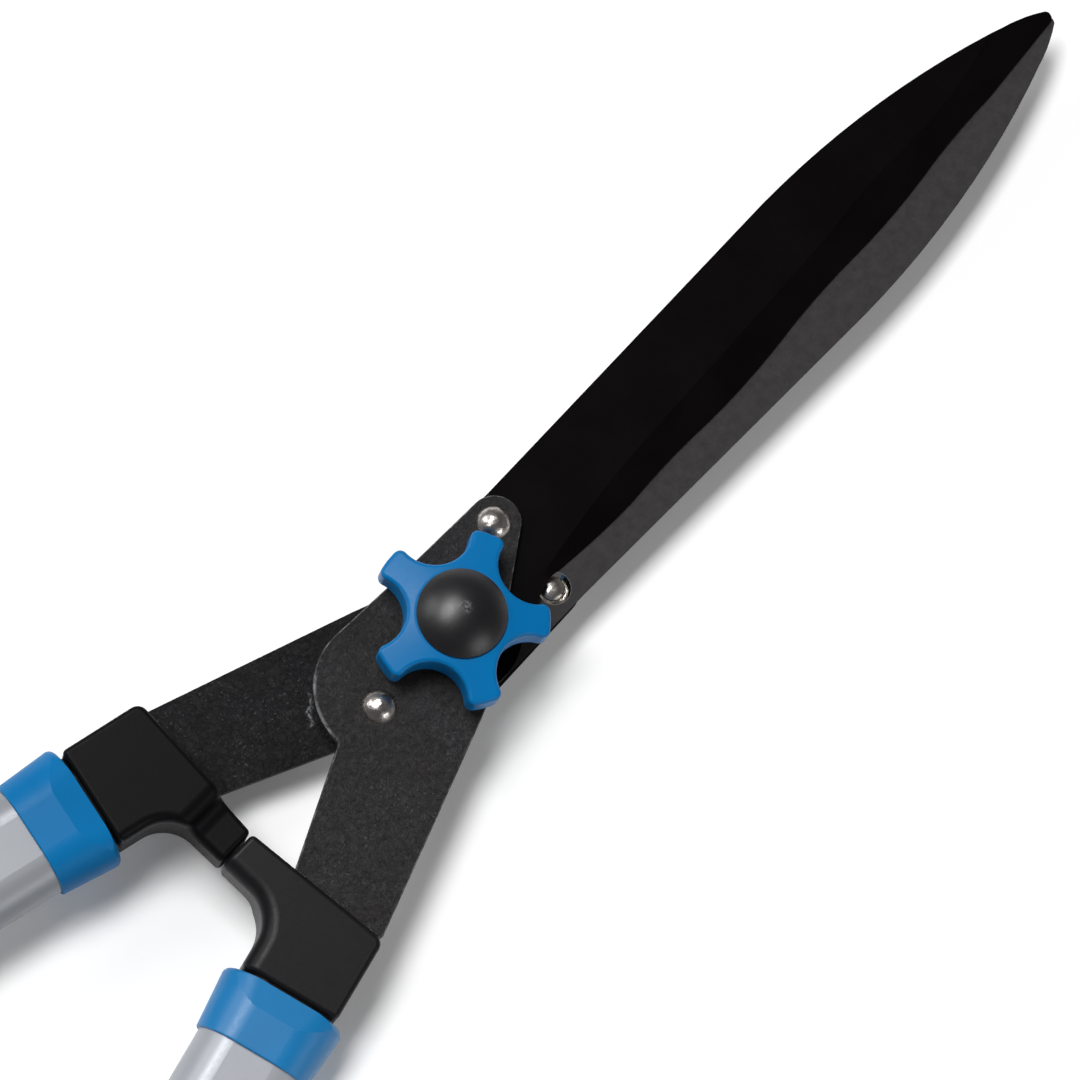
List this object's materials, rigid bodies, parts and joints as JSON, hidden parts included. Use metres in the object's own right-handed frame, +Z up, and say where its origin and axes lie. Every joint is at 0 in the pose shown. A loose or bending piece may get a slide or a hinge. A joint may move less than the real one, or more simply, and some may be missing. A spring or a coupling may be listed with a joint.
{
  "type": "hedge shears",
  "caption": "Two-handed hedge shears with long wavy-edged blades, flat-oval tube handles, bumper stops and a star tension knob at the pivot.",
  "frame": {"origin": "middle of the bounding box in plan, at the lowest point of the closed shears", "axes": "+X from the handles to the blade tips along the closed blades, +Y across the blades, +Z up along the pivot bolt, on the knob's side"},
  "size_m": [0.643, 0.2302, 0.0432],
  "materials": {
    "blade_coating": "near-black non-stick coating, satin",
    "bracket_coating": "black textured powder coat",
    "rivet_steel": "polished",
    "pivot_steel": "zinc plated",
    "bush_brass": "turned",
    "ferrule_plastic": "fine-grained moulded nylon",
    "tube_metal": "silver anodised",
    "collar_plastic": "satin moulded",
    "knob_plastic": "satin moulded",
    "cap_plastic": "satin-gloss moulded",
    "grip_rubber": "soft matt"
  },
  "bodies": {
    "lower_half": {"lower_blade": "blade_coating", "lower_bracket": "bracket_coating", "lower_rivets": "rivet_steel", "lower_ferrule": "ferrule_plastic", "lower_tube": "tube_metal", "lower_tube_pin": "pivot_steel", "lower_collar": "collar_plastic", "lower_grip_ring": "collar_plastic", "lower_grip": "grip_rubber", "lower_end_cap": "ferrule_plastic", "pivot_bolt": "pivot_steel", "pivot_bush": "bush_brass", "flat_washer": "pivot_steel", "spring_washer": "pivot_steel"},
    "upper_half": {"upper_blade": "blade_coating", "upper_bracket": "bracket_coating", "upper_rivets": "rivet_steel", "upper_ferrule": "ferrule_plastic", "upper_tube": "tube_metal", "upper_tube_pin": "pivot_steel", "upper_collar": "collar_plastic", "upper_grip_ring": "collar_plastic", "upper_grip": "grip_rubber", "upper_end_cap": "ferrule_plastic"},
    "knob": {"star_knob": "knob_plastic", "knob_nut": "pivot_steel", "knob_cap": "cap_plastic"}
  },
  "joints": [
    {"name": "blade_pivot", "type": "hinge", "parent": "lower_half", "child": "upper_half", "pos_m": [0.04902, 0, 0.017], "axis": [0, 0, 1], "range_deg": [0, 75]},
    {"name": "knob_turn", "type": "hinge", "parent": "lower_half", "child": "knob", "pos_m": [0.04902, 0, 0.017], "axis": [0, 0, 1], "range_deg": [0, 270]}
  ]
}
